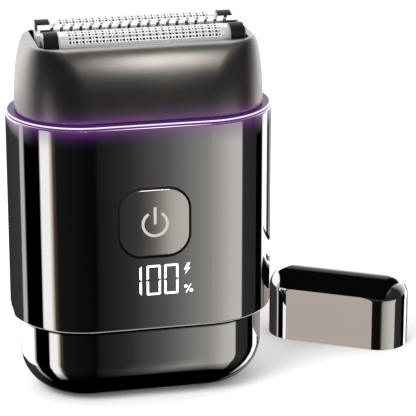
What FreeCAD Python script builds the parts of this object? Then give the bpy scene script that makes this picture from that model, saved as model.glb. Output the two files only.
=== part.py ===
import FreeCAD, Part
import math
import os
import Sketcher
from FreeCAD import Placement, Rotation, Vector

# Palm-size foil shaver with a lift-off head and a loose cap. Millimetres, +Z up, front towards -Y.
# The origin is the centre of the flat face that the shaver stands on.

DIMS = {
    # main body
    "body_length": 64.0,
    "body_depth": 37.0,
    "sleeve_wall": 1.5,
    "sleeve_height": 50.1,
    "sleeve_bottom": 19.7,
    "base_inset": 2.25,
    "base_height": 19.4,
    "base_wall": 1.8,
    "base_round": 10.0,
    "port_level": 13.5,
    "spigot_height": 4.0,
    # button and display
    "button_width": 16.4,
    "button_corner": 5.2,
    "button_hole": 17.5,
    "button_level": 46.4,
    "button_proud": 0.2,
    "button_thick": 1.6,
    "button_crown": 105.0,
    "digit_height": 7.5,
    "digit_width": 3.4,
    "digit_pitch": 4.25,
    "digit_stroke": 0.52,
    "digit_depth": 0.5,
    "display_level": 32.1,
    # power pack
    "motor_radius": 10.0,
    "motor_length": 24.0,
    "motor_bottom": 38.0,
    "battery_radius": 7.0,
    "battery_length": 46.0,
    "battery_x": 19.4,
    "battery_bottom": 13.5,
    "shaft_radius": 1.0,
    "shaft_fit": 0.05,
    "cam_throw": 1.0,
    # head
    "head_bottom": 70.75,
    "head_height": 16.75,
    "head_top_length": 52.4,
    "head_top_depth": 20.8,
    "head_corner": 15.2,
    "head_top_corner": 4.4,
    "window_length": 49.6,
    "window_depth": 19.6,
    "foil_y": 6.4,
    "foil_radius": 3.0,
    "foil_skin": 0.25,
    "foil_length": 41.0,
    "foil_top": 90.5,
    "foil_foot": 83.4,
    "carrier_length": 47.4,
    "carrier_width": 6.2,
    "carrier_bottom": 80.6,
    "hole_pitch": 1.26,
    "cutter_length": 37.4,
    "cutter_radius": 2.45,
    "cutter_bottom": 81.6,
    "comb_length": 47.4,
    "comb_width": 5.2,
    "comb_top": 90.2,
    # drive
    "deck_top": 72.0,
    "bridge_bottom": 73.1,
    "bridge_thick": 2.0,
    "bridge_length": 36.0,
    "bridge_width": 16.4,
    "pin_radius": 0.9,
    "pin_top": 83.3,
    # cap
    "cap_length": 36.4,
    "cap_width": 15.0,
    "cap_height": 17.3,
    "cap_corner": 7.2,
    "cap_round": 4.8,
    "cap_wall": 1.2,
    "cap_x": 55.2,
    "cap_y": 16.0,
    "cap_turn": -31.5,
}

doc = FreeCAD.newDocument("shaver")
sheet = doc.addObject("Spreadsheet::Sheet", "dims")
for row, (alias, number) in enumerate(DIMS.items(), start=1):
    sheet.set(f"A{row}", alias)
    sheet.set(f"B{row}", str(number))
    sheet.setAlias(f"B{row}", alias)
doc.recompute()


def value(text):
    """The number that an expression over the sheet's dimensions stands for."""
    return float(sheet.evalExpression(str(text)))


def plane(body, role):
    """One of the body's own origin planes."""
    return next(f for f in body.Origin.OriginFeatures if f.Role == role)


def new_body(label, z="0", y="0", x="0"):
    """An empty body placed by expressions over the sheet."""
    body = doc.addObject("PartDesign::Body", label)
    body.Label = label
    for axis, text in (("x", x), ("y", y), ("z", z)):
        body.setExpression("Placement.Base." + axis, str(text))
    return body


def sketch_on(body, role="XY_Plane", offset="0", turn=0.0):
    """A sketch on an origin plane, moved along its normal and tipped about its own X axis."""
    sketch = body.newObject("Sketcher::SketchObject", body.Label + "_sketch")
    sketch.AttachmentSupport = [(plane(body, role), "")]
    sketch.MapMode = "FlatFace"
    sketch.AttachmentOffset = Placement(Vector(0, 0, 0), Rotation(Vector(1, 0, 0), turn))
    if str(offset) != "0":
        sketch.setExpression("AttachmentOffset.Base.z", str(offset))
    return sketch


def size(sketch, kind, *items):
    """A dimension that follows an expression; the last item is the expression."""
    text = str(items[-1])
    index = sketch.addConstraint(Sketcher.Constraint(kind, *items[:-1], value(text)))
    sketch.setExpression(f"Constraints[{index}]", text)


def polygon(sketch, points):
    """A closed outline through points given as pairs of numbers."""
    first = sketch.GeometryCount
    count = len(points)
    for k in range(count):
        start, end = points[k], points[(k + 1) % count]
        sketch.addGeometry(Part.LineSegment(Vector(*start, 0), Vector(*end, 0)))
    for k in range(count):
        sketch.addConstraint(Sketcher.Constraint("Coincident", first + k, 2, first + (k + 1) % count, 1))
    return first


def rectangle(sketch, width, height, x="0", y="0"):
    """A rectangle centred on (x, y), every size an expression."""
    w, h, cx, cy = value(width), value(height), value(x), value(y)
    corners = [(cx - w / 2, cy - h / 2), (cx + w / 2, cy - h / 2), (cx + w / 2, cy + h / 2), (cx - w / 2, cy + h / 2)]
    first = polygon(sketch, corners)
    for k, kind in enumerate(("Horizontal", "Vertical", "Horizontal", "Vertical")):
        sketch.addConstraint(Sketcher.Constraint(kind, first + k))
    size(sketch, "DistanceX", first, 1, first, 2, width)
    size(sketch, "DistanceY", first + 1, 1, first + 1, 2, height)
    size(sketch, "DistanceX", -1, 1, first, 1, f"({x}) - ({width}) / 2")
    size(sketch, "DistanceY", -1, 1, first, 1, f"({y}) - ({height}) / 2")


def rounded(sketch, width, height, radius, x="0", y="0"):
    """A rectangle with four round corners, centred on (x, y)."""
    w, h, r, cx, cy = value(width) / 2, value(height) / 2, value(radius), value(x), value(y)
    first = sketch.GeometryCount
    ends = [((-w + r, -h), (w - r, -h)), ((w, -h + r), (w, h - r)), ((w - r, h), (-w + r, h)), ((-w, h - r), (-w, -h + r))]
    middles = [(w - r, -h + r, -90), (w - r, h - r, 0), (-w + r, h - r, 90), (-w + r, -h + r, 180)]
    for (a, b), (mx, my, angle) in zip(ends, middles):
        sketch.addGeometry(Part.LineSegment(Vector(cx + a[0], cy + a[1], 0), Vector(cx + b[0], cy + b[1], 0)))
        circle = Part.Circle(Vector(cx + mx, cy + my, 0), Vector(0, 0, 1), r)
        sketch.addGeometry(Part.ArcOfCircle(circle, math.radians(angle), math.radians(angle + 90)))
    for k in range(4):
        line, arc, after = first + 2 * k, first + 2 * k + 1, first + (2 * k + 2) % 8
        sketch.addConstraint(Sketcher.Constraint("Tangent", line, 2, arc, 1))
        sketch.addConstraint(Sketcher.Constraint("Tangent", arc, 2, after, 1))
        kind = "Horizontal" if k % 2 == 0 else "Vertical"
        sketch.addConstraint(Sketcher.Constraint(kind, line))
        if k:
            sketch.addConstraint(Sketcher.Constraint("Equal", first + 1, arc))
    size(sketch, "Radius", first + 1, radius)
    size(sketch, "DistanceX", first + 7, 3, first + 1, 3, f"({width}) - 2 * ({radius})")
    size(sketch, "DistanceY", first + 1, 3, first + 3, 3, f"({height}) - 2 * ({radius})")
    size(sketch, "DistanceX", -1, 1, first + 1, 3, f"({x}) + ({width}) / 2 - ({radius})")
    size(sketch, "DistanceY", -1, 1, first + 1, 3, f"({y}) - ({height}) / 2 + ({radius})")


def oval(sketch, length, depth):
    """A rectangle whose short ends are full rounds, all but a hair."""
    rounded(sketch, length, depth, f"({depth}) / 2 - 0.1")


def circle(sketch, radius, x="0", y="0"):
    """A circle centred on (x, y)."""
    index = sketch.addGeometry(Part.Circle(Vector(value(x), value(y), 0), Vector(0, 0, 1), value(radius)))
    size(sketch, "Radius", index, radius)
    size(sketch, "DistanceX", -1, 1, index, 3, x)
    size(sketch, "DistanceY", -1, 1, index, 3, y)


def pad(body, sketch, length, midplane=False, back=False):
    """Material along the sketch's normal."""
    feature = body.newObject("PartDesign::Pad", body.Label + "_pad")
    feature.Profile = sketch
    feature.setExpression("Length", str(length))
    feature.Midplane = midplane
    feature.Reversed = back
    sketch.Visibility = False
    body.Tip = feature
    return feature


def pocket(body, sketch, length, midplane=False, back=False):
    """A cut against the sketch's normal, or along it when back is set."""
    feature = body.newObject("PartDesign::Pocket", body.Label + "_pocket")
    feature.Profile = sketch
    feature.setExpression("Length", str(length))
    feature.Midplane = midplane
    feature.Reversed = back
    sketch.Visibility = False
    body.Tip = feature
    return feature


def fillet(body, radius, chosen):
    """Rounds the edges of the body's last feature that the test picks."""
    doc.recompute()
    base = body.Tip
    names = [f"Edge{k}" for k, edge in enumerate(base.Shape.Edges, start=1) if chosen(edge.BoundBox, edge)]
    feature = body.newObject("PartDesign::Fillet", body.Label + "_fillet")
    feature.Base = (base, names)
    feature.setExpression("Radius", str(radius))
    body.Tip = feature
    return feature


def at_height(level):
    """Picks edges that lie flat at one height of the body's own frame."""
    return lambda box, edge: abs(box.ZMin - level) < 1e-4 and abs(box.ZMax - level) < 1e-4


def ring(label, z, length, depth, wall, height):
    """A straight oval tube."""
    body = new_body(label, z)
    outline = sketch_on(body)
    oval(outline, length, depth)
    oval(outline, f"({length}) - 2 * ({wall})", f"({depth}) - 2 * ({wall})")
    pad(body, outline, height)
    return body


def block(label, z, width, depth, height, x="0", y="0"):
    """A rectangular block standing on z."""
    body = new_body(label, z, y, x)
    outline = sketch_on(body)
    rectangle(outline, width, depth)
    pad(body, outline, height)
    return body


def add_pads(body, draw, height, offset="0"):
    """A further pad drawn by a function on the body's XY plane."""
    outline = sketch_on(body, offset=offset)
    draw(outline)
    return pad(body, outline, height)


def add_cut(body, draw, height, offset="0", back=True):
    """A further cut drawn by a function on the body's XY plane, upwards unless told otherwise."""
    outline = sketch_on(body, offset=offset)
    draw(outline)
    return pocket(body, outline, height, back=back)


FRONT = "-dims.body_depth / 2"
INNER_LENGTH = "dims.body_length - 2 * dims.sleeve_wall"
INNER_DEPTH = "dims.body_depth - 2 * dims.sleeve_wall"
BASE_LENGTH = "dims.body_length - 2 * dims.base_inset"
BASE_DEPTH = "dims.body_depth - 2 * dims.base_inset"
BUTTON_RISE = "dims.button_level - dims.sleeve_bottom"
DISPLAY_RISE = "dims.display_level - dims.sleeve_bottom"

# lit segments of each digit, from the top clockwise, then the middle
SEGMENTS = {"1": "bc", "0": "abcdef"}


def digit_shapes():
    """Outlines of the lit segments of 1 0 0, the bolt and the percent sign, about the display's centre."""
    w, h, t = value("dims.digit_width") / 2, value("dims.digit_height") / 2, value("dims.digit_stroke")
    gap = 0.12
    upper = [(w, gap), (w, h - gap), (w - t, h - t - gap), (w - t, t / 2 + gap)]
    top = [(-w + gap, h), (w - gap, h), (w - t - gap, h - t), (-w + t + gap, h - t)]
    pieces = {
        "a": top,
        "d": [(x, -y) for x, y in top],
        "b": upper,
        "c": [(x, -y) for x, y in upper],
        "f": [(-x, y) for x, y in upper],
        "e": [(-x, -y) for x, y in upper],
    }
    shapes = []
    pitch = value("dims.digit_pitch")
    for place, figure in enumerate("100"):
        shift = (place - 1) * pitch - (0.4 if place else 0.75)
        for name in SEGMENTS[figure]:
            shapes.append([(x + shift, y) for x, y in pieces[name]])
    right = pitch - 0.4 + w + 1.45
    bolt = [(0.75, 2.9), (-0.1, 1.2), (0.62, 1.32), (0.1, 0.0), (1.5, 1.75), (0.78, 1.62), (1.45, 2.9)]
    shapes.append([(x + right, y + h - 2.9) for x, y in bolt])
    slash = [(0.3, 0.0), (0.62, 0.0), (1.75, 2.1), (1.43, 2.1)]
    shapes.append([(x + right, y - h) for x, y in slash])
    return shapes, [(right + 0.35, -h + 1.6), (right + 1.7, -h + 0.5)]


def draw_digits(sketch):
    """All the lit marks of the display."""
    shapes, dots = digit_shapes()
    for outline in shapes:
        polygon(sketch, outline)
    for x, y in dots:
        circle(sketch, "0.42", str(x), str(y))


def outer_sleeve():
    """Drawn metal tube with the button hole and the shallow recesses of the lit marks."""
    body = ring("outer_sleeve", "dims.sleeve_bottom", "dims.body_length", "dims.body_depth", "dims.sleeve_wall", "dims.sleeve_height")
    half = value("dims.body_depth") / 2 - 0.3
    for level in (0, value("dims.sleeve_height")):
        fillet(body, "0.45", lambda box, edge, z=level: at_height(z)(box, edge) and outside(edge, half))
    hole = sketch_on(body, "XZ_Plane", "dims.body_depth / 2 + 1")
    rounded(hole, "dims.button_hole", "dims.button_hole", "dims.button_corner + 0.55", "0", BUTTON_RISE)
    pocket(body, hole, "dims.sleeve_wall + 2")
    marks = new_body("display_marks_tool", "dims.display_level")
    outline = sketch_on(marks, "XZ_Plane", "dims.body_depth / 2 + 1")
    draw_digits(outline)
    pad(marks, outline, "1 + dims.digit_depth", back=True)
    cut = doc.addObject("Part::Cut", "outer_sleeve_cut")
    cut.Base = body
    cut.Tool = marks
    body.Label = "outer_sleeve_tube"
    cut.Label = "outer_sleeve"
    return cut


def outside(edge, half):
    """Whether an edge lies on the outer outline of an oval of this half depth."""
    middle = edge.valueAt((edge.FirstParameter + edge.LastParameter) / 2)
    straight = value("dims.body_length") / 2 - value("dims.body_depth") / 2
    reach = max(abs(middle.x) - straight, 0)
    return math.hypot(reach, middle.y) > half


def base_shell():
    """Round-bottomed cup that carries the shaver, with a spigot for the sleeve and a charging port hole."""
    outer = new_body("base_outer")
    outline = sketch_on(outer)
    oval(outline, BASE_LENGTH, BASE_DEPTH)
    pad(outer, outline, "dims.base_height")
    fillet(outer, "dims.base_round", at_height(0))
    spigot = sketch_on(outer, offset="dims.base_height")
    oval(spigot, f"{BASE_LENGTH} - 2.2", f"{BASE_DEPTH} - 2.2")
    pad(outer, spigot, "dims.spigot_height")
    inner = new_body("base_inner", "dims.base_wall")
    outline = sketch_on(inner)
    oval(outline, f"{BASE_LENGTH} - 2 * dims.base_wall - 1.8", f"{BASE_DEPTH} - 2 * dims.base_wall - 1.8")
    pad(inner, outline, "dims.base_height + dims.spigot_height")
    fillet(inner, "dims.base_round - dims.base_wall", at_height(0))
    port = new_body("base_port_tool", "dims.port_level")
    outline = sketch_on(port, "XZ_Plane", "-dims.body_depth / 2")
    rounded(outline, "9.6", "4.0", "1.9")
    pad(port, outline, "7")
    hollow = doc.addObject("Part::Cut", "base_hollow")
    hollow.Base = outer
    hollow.Tool = inner
    cut = doc.addObject("Part::Cut", "base_shell")
    cut.Base = hollow
    cut.Tool = port
    return cut


def inner_frame():
    """Oval chassis tube inside the sleeve, open where the button and the display look out."""
    body = ring("inner_frame", "20.7", f"{INNER_LENGTH} - 0.4", f"{INNER_DEPTH} - 0.4", "1.4", "46.4")
    for rise, width, height in (("dims.button_level - 20.7", "21", "21"), ("dims.display_level - 20.7", "24", "9.2")):
        hole = sketch_on(body, "XZ_Plane", "dims.body_depth / 2")
        rectangle(hole, width, height, "0" if width == "21" else "0.6", rise)
        pocket(body, hole, "4")
    return body


def rim_parts():
    """Glowing ring on the sleeve's rim, and the strip of lamps under it."""
    glow = ring("light_ring", "dims.sleeve_bottom + dims.sleeve_height + 0.04", "dims.body_length - 0.5", "dims.body_depth - 0.5", "2.9", "0.55")
    strip = ring("led_strip", "68.75", f"{INNER_LENGTH} - 1", f"{INNER_DEPTH} - 1", "1.3", "0.35")
    def lamps(sketch):
        for k in range(6):
            for side in (-1, 1):
                rectangle(sketch, "1.4", "0.9", str(-12.5 + 5 * k), f"{side} * ({INNER_DEPTH} - 2.4) / 2")
    add_pads(strip, lamps, "0.5", "0.35")
    gasket = ring("sleeve_gasket", "dims.base_height + 0.05", f"{INNER_LENGTH} - 0.3", f"{INNER_DEPTH} - 0.3", "1.5", "1.2")
    return [glow, strip, gasket]


def drive_deck():
    """Lid of the body: a flange under the ring and a raised plateau that the head plugs over."""
    body = new_body("drive_deck", "67.2")
    flange = sketch_on(body)
    oval(flange, f"{INNER_LENGTH} - 0.6", f"{INNER_DEPTH} - 0.6")
    pad(body, flange, "1.5")
    plateau = sketch_on(body, offset="1.5")
    oval(plateau, "55.4", "28")
    pad(body, plateau, "dims.deck_top - 68.7")
    add_cut(body, lambda s: circle(s, "4.9"), "10", "-1")
    for side in (-1, 1):
        add_cut(body, lambda s, k=side: circle(s, "2.05", str(24.6 * k)), "3", "dims.deck_top - 67.2 - 1.9")
    return body


def disc_pair(label, z, radius, height, x):
    """Two equal discs at plus and minus x."""
    body = new_body(label, z)
    outline = sketch_on(body)
    for side in (-1, 1):
        circle(outline, radius, f"{side} * {x}")
    pad(body, outline, height)
    return body


def deck_parts():
    """Rubber seal round the drive opening, and the deck's magnets."""
    seal = new_body("deck_seal", "dims.deck_top")
    outline = sketch_on(seal)
    circle(outline, "6.6")
    circle(outline, "4.9")
    pad(seal, outline, "0.6")
    fillet(seal, "0.25", at_height(0.6))
    return [seal, disc_pair("deck_magnets", "dims.deck_top - 1.9", "2", "1.85", "24.6")]


def drive_motor():
    """Flat-sided motor can with a bearing boss, bored for its shaft, and its rear cap."""
    body = new_body("drive_motor", "dims.motor_bottom")
    outline = sketch_on(body)
    circle(outline, "dims.motor_radius")
    pad(body, outline, "dims.motor_length")
    fillet(body, "0.8", at_height(value("dims.motor_length")))
    add_pads(body, lambda s: circle(s, "3"), "2", "dims.motor_length")
    add_cut(body, lambda s: circle(s, "dims.shaft_radius + dims.shaft_fit"), "8", "dims.motor_length - 4")
    cap = new_body("motor_end_cap", "dims.motor_bottom - 2.4")
    outline = sketch_on(cap)
    circle(outline, "dims.motor_radius - 0.6")
    pad(cap, outline, "2.4")
    add_pads(cap, lambda s: [rectangle(s, "1", "3", str(x)) for x in (-5, 5)], "1.6", "-1.6")
    return [body, cap]


def motor_bracket():
    """Plate that hangs the motor from the chassis, with two screws."""
    body = new_body("motor_bracket", "62.3")
    outline = sketch_on(body)
    oval(outline, "57.4", "30.4")
    pad(body, outline, "1.5")
    add_cut(body, lambda s: circle(s, "3.1"), "3", "-1")
    screws = disc_pair("bracket_screws", "63.8", "1.9", "1.1", "24")
    for side in (-1, 1):
        add_cut(screws, lambda s, k=side: rectangle(s, "2.6", "0.5", str(24 * k)), "1", "0.6")
    return [body, screws]


def shaft_parts():
    """Motor shaft, and the cam on it whose pin stands off the axis."""
    shaft = new_body("motor_shaft", "dims.motor_bottom + dims.motor_length - 3.7")
    outline = sketch_on(shaft)
    circle(outline, "dims.shaft_radius")
    pad(shaft, outline, "10.9")
    cam = new_body("eccentric_cam", "66.4")
    outline = sketch_on(cam)
    circle(outline, "3.2")
    circle(outline, "dims.shaft_radius")
    pad(cam, outline, "2.8")
    add_pads(cam, lambda s: circle(s, "3.2"), "1", "2.8")
    add_pads(cam, lambda s: circle(s, "0.8", "dims.cam_throw"), "dims.bridge_bottom + dims.bridge_thick - 0.4 - 70.2", "3.8")
    return [shaft, cam]


def battery():
    """Upright cell with its welded tabs."""
    cell = new_body("battery_cell", "dims.battery_bottom", x="dims.battery_x")
    outline = sketch_on(cell)
    circle(outline, "dims.battery_radius")
    pad(cell, outline, "dims.battery_length")
    fillet(cell, "0.7", at_height(0))
    add_pads(cell, lambda s: circle(s, "2.6"), "0.9", "dims.battery_length")
    tabs = new_body("battery_tabs", "dims.battery_bottom + dims.battery_length + 0.9", x="dims.battery_x")
    outline = sketch_on(tabs)
    rectangle(outline, "3", "12", "0", "-1")
    pad(tabs, outline, "0.25")
    add_pads(tabs, lambda s: rectangle(s, "3", "8", "0", "-0.4"), "0.25", "-dims.battery_length - 1.15")
    tabs.AllowCompound = True
    return [cell, tabs]


def electronics():
    """Circuit board with its chips, key switch, display light guide and charging port."""
    board = new_body("main_board", "24.5", "-11.4")
    outline = sketch_on(board, "XZ_Plane")
    rectangle(outline, "40", "36", "0", "18")
    pad(board, outline, "1")
    chips = new_body("board_chips", "24.5", "-10.5")
    outline = sketch_on(chips, "XZ_Plane", "0.01")
    rectangle(outline, "6", "6", "-15.5", "24")
    rectangle(outline, "4", "5", "-15.5", "12")
    pad(chips, outline, "0.89")
    chips.AllowCompound = True
    switch = new_body("key_switch", "dims.button_level", "-12.4")
    outline = sketch_on(switch, "XZ_Plane")
    rectangle(outline, "6", "6")
    pad(switch, outline, "1.2")
    knob = sketch_on(switch, "XZ_Plane", "1.2")
    circle(knob, "1.7")
    pad(switch, knob, "0.4")
    guide = new_body("display_light_guide", "dims.display_level", "-12.4", "0.6")
    outline = sketch_on(guide, "XZ_Plane")
    rectangle(outline, "22.6", "8.4")
    pad(guide, outline, "4.4")
    port = new_body("usb_c_port", "dims.port_level", "15.8")
    outline = sketch_on(port, "XZ_Plane")
    rounded(outline, "9.0", "3.4", "1.6")
    rounded(outline, "8.4", "2.8", "1.3")
    pad(port, outline, "7")
    wall = sketch_on(port, "XZ_Plane", "7")
    rounded(wall, "9.0", "3.4", "1.6")
    pad(port, wall, "0.6")
    tongue = new_body("usb_tongue", "dims.port_level", "14.6")
    outline = sketch_on(tongue, "XZ_Plane")
    rectangle(outline, "6.6", "0.7")
    pad(tongue, outline, "5.8")
    small = block("charge_board", "dims.port_level - 2.75", "16", "12.6", "1", y="6.9")
    return [board, chips, switch, guide, port, tongue, small]


def display_digits():
    """Lit marks that fill the sleeve's recesses flush with its front."""
    body = new_body("display_digits", "dims.display_level")
    outline = sketch_on(body, "XZ_Plane", "dims.body_depth / 2")
    draw_digits(outline)
    pad(body, outline, "dims.digit_depth", back=True)
    body.AllowCompound = True
    return body


def button_parts():
    """Dark liner of the button hole, the pressing cap with its raised sign, and the plunger."""
    liner = new_body("button_bezel", "dims.button_level")
    outline = sketch_on(liner, "XZ_Plane", "dims.body_depth / 2 - 0.35")
    rounded(outline, "dims.button_hole - 0.06", "dims.button_hole - 0.06", "dims.button_corner + 0.52")
    rounded(outline, "dims.button_hole - 0.5", "dims.button_hole - 0.5", "dims.button_corner + 0.3")
    pad(liner, outline, "dims.sleeve_wall - 0.35", back=True)
    flange = sketch_on(liner, "XZ_Plane", "dims.body_depth / 2 - dims.sleeve_wall")
    rounded(flange, "20", "20", "dims.button_corner + 1")
    rounded(flange, "dims.button_hole - 0.5", "dims.button_hole - 0.5", "dims.button_corner + 0.3")
    pad(liner, flange, "0.8", back=True)
    cap = crowned_button()
    sign = power_sign()
    plunger = new_body("switch_plunger", "dims.button_level")
    outline = sketch_on(plunger, "XZ_Plane", "dims.body_depth / 2 + dims.button_proud - dims.button_thick")
    circle(outline, "2.2")
    pad(plunger, outline, "2.6", back=True)
    return [liner, cap, sign, plunger]


def crowned_button():
    """Pressing cap whose face is a shallow barrel about an upright axis, its edges eased."""
    crown = new_body("button_crown", "dims.button_level", "dims.button_crown - dims.body_depth / 2 - dims.button_proud")
    outline = sketch_on(crown, offset="-dims.button_width")
    circle(outline, "dims.button_crown")
    pad(crown, outline, "2 * dims.button_width")
    tablet = new_body("button_tablet", "dims.button_level")
    outline = sketch_on(tablet, "XZ_Plane", "dims.body_depth / 2 + dims.button_proud")
    rounded(outline, "dims.button_width", "dims.button_width", "dims.button_corner")
    pad(tablet, outline, "dims.button_thick", back=True)
    front = -value("dims.body_depth / 2 + dims.button_proud")
    fillet(tablet, "0.45", lambda box, edge: abs(box.YMin - front) < 1e-4 and abs(box.YMax - front) < 1e-4)
    common = doc.addObject("Part::Common", "power_button")
    common.Base = tablet
    common.Tool = crown
    return common


def power_sign():
    """Raised standby sign: an arc open at the top, and a bar through the opening."""
    body = new_body("power_icon", "dims.button_level", x="0")
    outline = sketch_on(body, "XZ_Plane", "dims.body_depth / 2 + dims.button_proud")
    for radius, first in ((3.25, True), (2.6, False)):
        round_line = Part.Circle(Vector(0, -0.2, 0), Vector(0, 0, 1), radius)
        outline.addGeometry(Part.ArcOfCircle(round_line, math.radians(122), math.radians(418)))
    for angle in (122, 58):
        c, s = math.cos(math.radians(angle)), math.sin(math.radians(angle))
        start, end = Vector(3.25 * c, 3.25 * s - 0.2, 0), Vector(2.6 * c, 2.6 * s - 0.2, 0)
        outline.addGeometry(Part.LineSegment(start, end))
    polygon(outline, [(-0.33, -0.3), (0.33, -0.3), (0.33, 3.9), (-0.33, 3.9)])
    pad(body, outline, "0.12")
    body.AllowCompound = True
    return body


def loft(body, sections, ruled=False):
    """Material through a stack of sketches."""
    feature = body.newObject("PartDesign::AdditiveLoft", body.Label + "_loft")
    feature.Profile = sections[0]
    feature.Sections = sections[1:]
    feature.Ruled = ruled
    body.Tip = feature
    return feature


def head_outline(share):
    """Length, depth and corner of the head's outline, a share of the way from its foot to its roof."""
    length = f"{BASE_LENGTH} - ({BASE_LENGTH} - dims.head_top_length) * {share:.5f}"
    depth = f"{BASE_DEPTH} - ({BASE_DEPTH} - dims.head_top_depth) * {share:.5f}"
    corner = f"dims.head_corner - (dims.head_corner - dims.head_top_corner) * {share:.5f}"
    return length, depth, corner


def head_shell():
    """Shaving head whose walls lean in as a quarter ellipse, hollow, with the foil window in its roof."""
    outer = new_body("head_outer", "dims.head_bottom")
    sections = []
    for step in range(7):
        angle = math.radians(15 * step)
        sections.append(sketch_on(outer, offset=f"dims.head_height * {math.sin(angle):.5f}"))
        rounded(sections[-1], *head_outline(1 - math.cos(angle)))
    loft(outer, sections)
    inner = new_body("head_inner", "dims.head_bottom - 0.5")
    low = sketch_on(inner)
    rounded(low, f"{BASE_LENGTH} - 2.8", f"{BASE_DEPTH} - 2.8", "dims.head_corner - 1.4")
    high = sketch_on(inner, offset="dims.head_height - 2.3")
    rounded(high, "dims.window_length + 3.2", "dims.window_depth + 2.6", "4.8")
    loft(inner, [low, high], ruled=True)
    window = new_body("head_window", "dims.head_bottom + 10")
    outline = sketch_on(window)
    rounded(outline, "dims.window_length + 0.4", "dims.window_depth + 0.1", "2.1")
    pad(window, outline, "10")
    hollow = doc.addObject("Part::Cut", "head_hollow_cut")
    hollow.Base = outer
    hollow.Tool = inner
    cut = doc.addObject("Part::Cut", "head_shell")
    cut.Base = hollow
    cut.Tool = window
    return cut


def head_parts():
    """Collar and foil frame inside the head, with the head's own magnets."""
    collar = new_body("head_collar", "72.35")
    outline = sketch_on(collar)
    oval(outline, "55.2", "27.2")
    rectangle(outline, "dims.bridge_length + 7", "18.6")
    pad(collar, outline, "1.6")
    for side in (-1, 1):
        add_cut(collar, lambda s, k=side: circle(s, "2.05", str(24.6 * k)), "3", "-0.8")
    frame = new_body("foil_frame", "73.95")
    outline = sketch_on(frame)
    rounded(outline, "dims.window_length + 1.2", "dims.window_depth + 1.2", "2.6")
    rounded(outline, "dims.window_length", "dims.window_depth", "1.9")
    pad(frame, outline, "10.7")
    return [collar, frame, disc_pair("head_magnets", "72.4", "2", "1.5", "24.6")]


def arch(sketch, radius, foot):
    """A round-topped outline about the arch centre, down to foot below it."""
    first = sketch.GeometryCount
    round_line = Part.Circle(Vector(0, 0, 0), Vector(0, 0, 1), radius)
    sketch.addGeometry(Part.ArcOfCircle(round_line, 0, math.pi))
    points = [(-radius, 0), (-radius, -foot), (radius, -foot), (radius, 0)]
    for start, end in zip(points, points[1:]):
        sketch.addGeometry(Part.LineSegment(Vector(*start, 0), Vector(*end, 0)))
    return first


def foil(label, y):
    """Arched shaving foil pierced by seven rows of round holes, wide and narrow columns in turn."""
    body = new_body(label, "dims.foil_top - dims.foil_radius", y)
    radius, skin = value("dims.foil_radius"), value("dims.foil_skin")
    foot = value("dims.foil_top - dims.foil_radius - dims.foil_foot")
    outline = sketch_on(body, "YZ_Plane")
    for r, way in ((radius, 1), (radius - skin, -1)):
        round_line = Part.Circle(Vector(0, 0, 0), Vector(0, 0, 1), r)
        outline.addGeometry(Part.ArcOfCircle(round_line, 0, math.pi))
        for side in (-1, 1):
            outline.addGeometry(Part.LineSegment(Vector(side * r, 0, 0), Vector(side * r, -foot, 0)))
    for side in (-1, 1):
        outline.addGeometry(Part.LineSegment(Vector(side * (radius - skin), -foot, 0), Vector(side * radius, -foot, 0)))
    pad(body, outline, "dims.foil_length", midplane=True)
    pitch = value("dims.hole_pitch")
    for row in range(-3, 4):
        holes = sketch_on(body, turn=25.0 * row)
        for column in range(-14, 15):
            wide = column % 2 == 0
            holes.addGeometry(Part.Circle(Vector(column * pitch, 0, 0), Vector(0, 0, 1), 0.40 if wide else 0.24))
        pocket(body, holes, "6", back=True)
    return body


def carrier(label, y):
    """Foil carrier: two round-topped end caps joined by a low frame."""
    body = new_body(label, "dims.foil_top - dims.foil_radius", y)
    outline = sketch_on(body, "YZ_Plane")
    half = value("dims.carrier_width") / 2
    arch(outline, half, value("dims.foil_top - dims.foil_radius - dims.carrier_bottom"))
    pad(body, outline, "dims.carrier_length", midplane=True)
    gap = sketch_on(body, "XZ_Plane")
    low = "dims.foil_foot - dims.foil_top + dims.foil_radius"
    rectangle(gap, "dims.foil_length", "12", "0", f"{low} + 6")
    pocket(body, gap, "10", midplane=True)
    window = sketch_on(body, offset="-8")
    rectangle(window, "dims.foil_length - 0.6", "5.2")
    pocket(body, window, "6", back=True)
    return body


def cutter(label, y):
    """Row of round-backed blades on a bar, bored from below for its drive pin."""
    body = new_body(label, "dims.foil_top - dims.foil_radius", y)
    outline = sketch_on(body, "YZ_Plane")
    arch(outline, value("dims.cutter_radius"), value("dims.foil_top - dims.foil_radius - dims.cutter_bottom"))
    pad(body, outline, "dims.cutter_length", midplane=True)
    slots = sketch_on(body, offset="-1.8")
    for k in range(-9, 10):
        rectangle(slots, "1.2", "8", str(1.9 * k + 0.95 - 0.95))
    pocket(body, slots, "6", back=True)
    bore = sketch_on(body, offset="dims.cutter_bottom - dims.foil_top + dims.foil_radius - 1")
    circle(bore, "dims.pin_radius + 0.35")
    pocket(body, bore, "4.4", back=True)
    return body


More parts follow.
